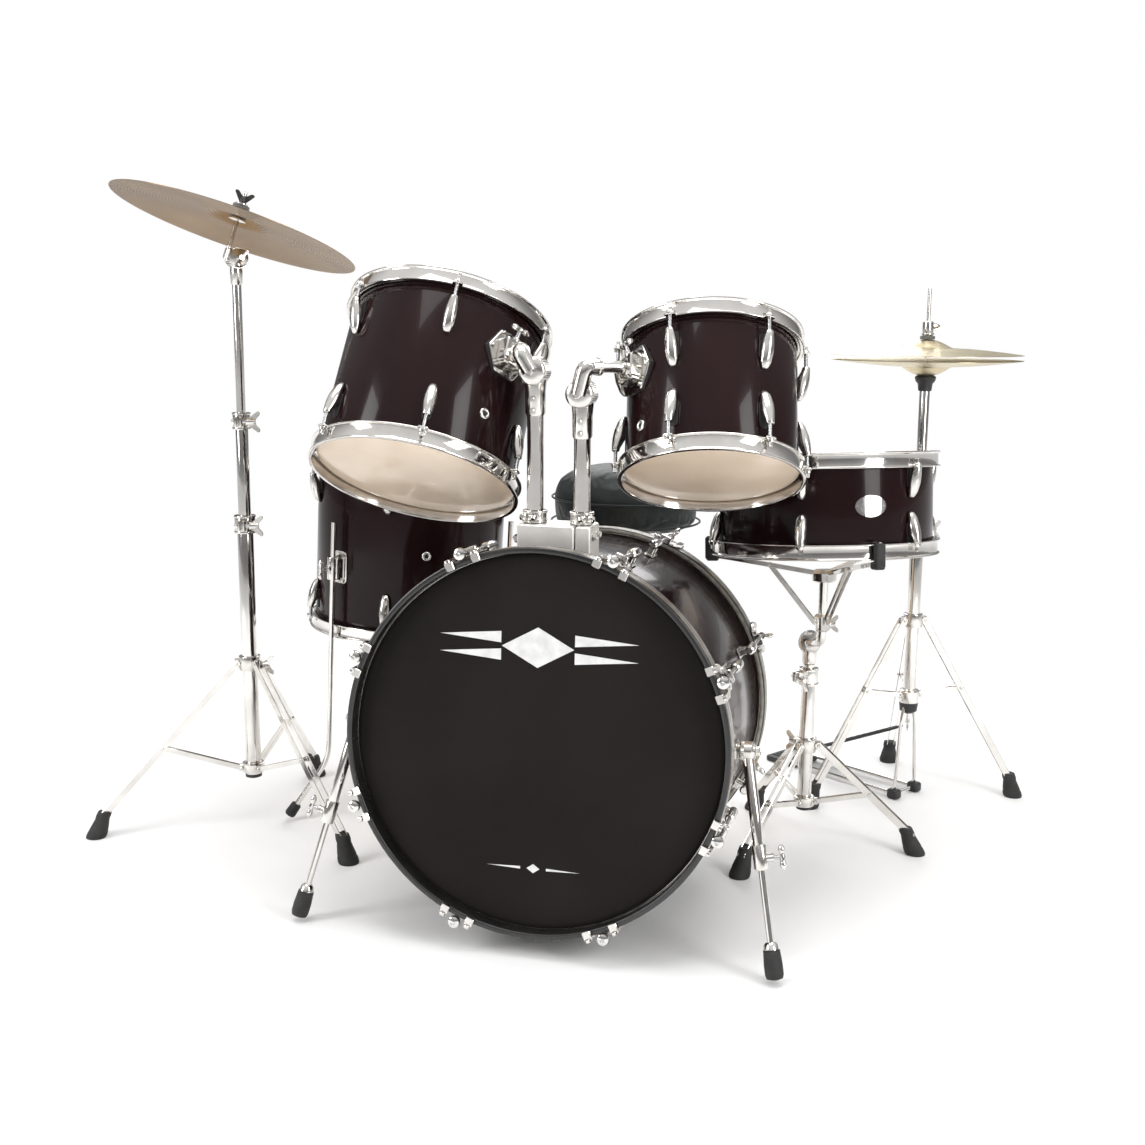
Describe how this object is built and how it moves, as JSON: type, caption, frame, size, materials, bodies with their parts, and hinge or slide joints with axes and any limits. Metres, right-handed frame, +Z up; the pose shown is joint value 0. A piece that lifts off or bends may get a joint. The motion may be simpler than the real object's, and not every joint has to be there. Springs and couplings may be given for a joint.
{
  "type": "acoustic drum kit",
  "caption": "Acoustic drum kit: bass drum with pedal, rack toms, floor tom, snare drum, crash and hi-hat cymbals on tripod stands, and a round throne.",
  "frame": {"origin": "bottom centre of the kit's box, on the floor", "axes": "+X from the floor tom side to the hi-hat side as the audience sees it, +Y from the bass drum's front head towards the drummer, +Z up"},
  "size_m": [1.6615, 1.2744, 1.1578],
  "materials": {
    "shell_lacquer": "deep burgundy gloss lacquer over plywood",
    "hoop_black": "black lacquer",
    "black_head": "matte black film",
    "clear_head": "translucent amber film",
    "coated_head": "coated white film",
    "chrome": "polished",
    "bronze": "lathed bronze",
    "brass": "lathed pale brass",
    "rubber": "moulded",
    "vinyl": "upholstery vinyl"
  },
  "bodies": {
    "kit": {"bass_shell": "shell_lacquer", "bass_front_head": "black_head", "bass_batter_head": "clear_head", "bass_front_hoop": "hoop_black", "bass_rear_hoop": "hoop_black", "tom_mount_block": "chrome", "floor_tom_shell": "shell_lacquer", "floor_tom_top_head": "coated_head", "floor_tom_bottom_head": "clear_head", "floor_tom_top_hoop": "chrome", "floor_tom_bottom_hoop": "chrome", "crash_base": "chrome", "hihat_base": "chrome", "snare_base": "chrome", "throne_base": "chrome", "pedal_frame": "chrome"},
    "left_spur": {"left_spur_tube": "chrome"},
    "left_spur_leg": {"left_spur_rod": "chrome"},
    "right_spur": {"right_spur_tube": "chrome"},
    "right_spur_leg": {"right_spur_rod": "chrome"},
    "left_post": {"left_tom_post": "chrome"},
    "left_arm": {"left_tom_arm": "chrome"},
    "left_tom": {"left_tom_shell": "shell_lacquer", "left_tom_top_head": "coated_head", "left_tom_bottom_head": "clear_head", "left_tom_top_hoop": "chrome", "left_tom_bottom_hoop": "chrome", "left_tom_bracket": "chrome"},
    "right_post": {"right_tom_post": "chrome"},
    "right_arm": {"right_tom_arm": "chrome"},
    "right_tom": {"right_tom_shell": "shell_lacquer", "right_tom_top_head": "coated_head", "right_tom_bottom_head": "clear_head", "right_tom_top_hoop": "chrome", "right_tom_bottom_hoop": "chrome", "right_tom_bracket": "chrome"},
    "floor_leg_1": {"floor_tom_leg_1": "chrome"},
    "floor_leg_2": {"floor_tom_leg_2": "chrome"},
    "floor_leg_3": {"floor_tom_leg_3": "chrome"},
    "crash_middle": {"crash_middle_tube": "chrome"},
    "crash_upper": {"crash_upper_tube": "chrome"},
    "crash_head": {"crash_tilter": "chrome"},
    "crash": {"crash_cymbal": "bronze"},
    "hihat_upper": {"hihat_upper_tube": "chrome", "hihat_bottom_cymbal": "brass"},
    "hihat_rod": {"hihat_pull_rod": "chrome"},
    "hihat_top": {"hihat_top_cymbal": "brass"},
    "hihat_pedal": {"hihat_footboard": "rubber"},
    "snare_column": {"snare_upper_tube": "chrome"},
    "snare": {"snare_basket": "chrome", "snare_shell": "shell_lacquer", "snare_top_head": "coated_head", "snare_bottom_head": "clear_head", "snare_top_hoop": "chrome", "snare_bottom_hoop": "chrome"},
    "snare_lever": {"snare_throw_lever": "chrome"},
    "throne_column": {"throne_post": "chrome"},
    "throne_top": {"throne_seat": "vinyl"},
    "pedal_board": {"pedal_footboard": "chrome"},
    "beater": {"pedal_beater": "chrome"}
  },
  "joints": [
    {"name": "left_spur_fold", "type": "hinge", "parent": "kit", "child": "left_spur", "pos_m": [-0.2239, -0.5412, 0.32], "axis": [1, 0, 0], "range_deg": [0, 72]},
    {"name": "left_spur_extend", "type": "slide", "parent": "left_spur", "child": "left_spur_leg", "axis": [-0.2468, -0.1843, -0.9514], "range_m": [-0.01, 0.045]},
    {"name": "right_spur_fold", "type": "hinge", "parent": "kit", "child": "right_spur", "pos_m": [0.3861, -0.5412, 0.32], "axis": [1, 0, 0], "range_deg": [0, 72]},
    {"name": "right_spur_extend", "type": "slide", "parent": "right_spur", "child": "right_spur_leg", "axis": [0.1816, -0.2441, -0.9526], "range_m": [-0.01, 0.045]},
    {"name": "left_post_height", "type": "slide", "parent": "kit", "child": "left_post", "axis": [0, 0, 1], "range_m": [-0.03, 0.07]},
    {"name": "left_arm_tilt", "type": "hinge", "parent": "left_post", "child": "left_arm", "pos_m": [0.0531, -0.5032, 0.862], "axis": [0, 1, 0], "range_deg": [-6, 12]},
    {"name": "left_tom_angle", "type": "hinge", "parent": "left_arm", "child": "left_tom", "pos_m": [-0.00147, -0.47272, 0.8828], "axis": [0.8646, -0.46, 0.2022], "range_deg": [-30, 12]},
    {"name": "right_post_height", "type": "slide", "parent": "kit", "child": "right_post", "axis": [0, 0, 1], "range_m": [-0.03, 0.07]},
    {"name": "right_arm_tilt", "type": "hinge", "parent": "right_post", "child": "right_arm", "pos_m": [0.1251, -0.5032, 0.83], "axis": [0, 1, 0], "range_deg": [-12, 8]},
    {"name": "right_tom_angle", "type": "hinge", "parent": "right_arm", "child": "right_tom", "pos_m": [0.20048, -0.47464, 0.86273], "axis": [0.7744, 0.5957, -0.2132], "range_deg": [-30, 15]},
    {"name": "floor_leg_1_height", "type": "slide", "parent": "kit", "child": "floor_leg_1", "axis": [0.0499, 0, 0.9988], "range_m": [-0.05, 0.05]},
    {"name": "floor_leg_2_height", "type": "slide", "parent": "kit", "child": "floor_leg_2", "axis": [0.0499, 0, 0.9988], "range_m": [-0.05, 0.05]},
    {"name": "floor_leg_3_height", "type": "slide", "parent": "kit", "child": "floor_leg_3", "axis": [0.0499, 0, 0.9988], "range_m": [-0.05, 0.05]},
    {"name": "crash_middle_height", "type": "slide", "parent": "kit", "child": "crash_middle", "axis": [0, 0, 1], "range_m": [-0.1, 0.12]},
    {"name": "crash_upper_height", "type": "slide", "parent": "crash_middle", "child": "crash_upper", "axis": [0, 0, 1], "range_m": [-0.12, 0.1]},
    {"name": "crash_tilt", "type": "hinge", "parent": "crash_upper", "child": "crash_head", "pos_m": [-0.5678, -0.22712, 1.038], "axis": [-0.7177, 0.6963, 0], "range_deg": [-45, 20]},
    {"name": "crash_spin", "type": "hinge", "parent": "crash_head", "child": "crash", "pos_m": [-0.56696, -0.23487, 1.08713], "axis": [0.228, 0.235, 0.9449], "continuous": true},
    {"name": "hihat_height", "type": "slide", "parent": "kit", "child": "hihat_upper", "axis": [0, 0, 1], "range_m": [-0.1, 0.05]},
    {"name": "hihat_pedal_press", "type": "hinge", "parent": "kit", "child": "hihat_pedal", "pos_m": [0.38889, 0.41531, 0.026], "axis": [0.5592, 0.829, 0], "range_deg": [0, 2.1], "stiffness_Nm_per_rad": 12, "springref_deg": -34.38},
    {"name": "hihat_rod_pull", "type": "slide", "parent": "kit", "child": "hihat_rod", "axis": [0, 0, 1], "range_m": [-0.011, 0.001]},
    {"name": "hihat_clutch_slide", "type": "slide", "parent": "hihat_rod", "child": "hihat_top", "axis": [0, 0, 1], "range_m": [-0.101, 0.051]},
    {"name": "snare_height", "type": "slide", "parent": "kit", "child": "snare_column", "axis": [0, 0, 1], "range_m": [-0.002, 0.06]},
    {"name": "snare_tilt", "type": "hinge", "parent": "snare_column", "child": "snare", "pos_m": [0.4331, -0.0612, 0.378], "axis": [0, 1, 0], "range_deg": [-1, 14]},
    {"name": "snare_lever_throw", "type": "hinge", "parent": "snare", "child": "snare_lever", "pos_m": [0.43721, 0.05924, 0.597], "axis": [-0.9952, -0.0906, -0.0371], "range_deg": [0, 60]},
    {"name": "throne_height", "type": "slide", "parent": "kit", "child": "throne_column", "axis": [0, 0, 1], "range_m": [-0.05, 0.09]},
    {"name": "throne_swivel", "type": "hinge", "parent": "throne_column", "child": "throne_top", "pos_m": [-0.0049, 0.4088, 0.55], "axis": [0, 0, 1], "continuous": true},
    {"name": "bass_pedal_press", "type": "hinge", "parent": "kit", "child": "pedal_board", "pos_m": [0.0811, 0.1688, 0.03], "axis": [1, 0, 0], "range_deg": [0, 9], "stiffness_Nm_per_rad": 5, "springref_deg": -22.92},
    {"name": "beater_swing", "type": "hinge", "parent": "kit", "child": "beater", "pos_m": [0.0811, -0.0992, 0.135], "axis": [1, 0, 0], "range_deg": [-1, 51]}
  ],
  "couplings": [
    {"joint": "hihat_rod_pull", "follows": "hihat_pedal_press", "m_per_rad": -0.24},
    {"joint": "hihat_clutch_slide", "follows": "hihat_height", "ratio": 1},
    {"joint": "beater_swing", "follows": "bass_pedal_press", "ratio": 5.55}
  ]
}
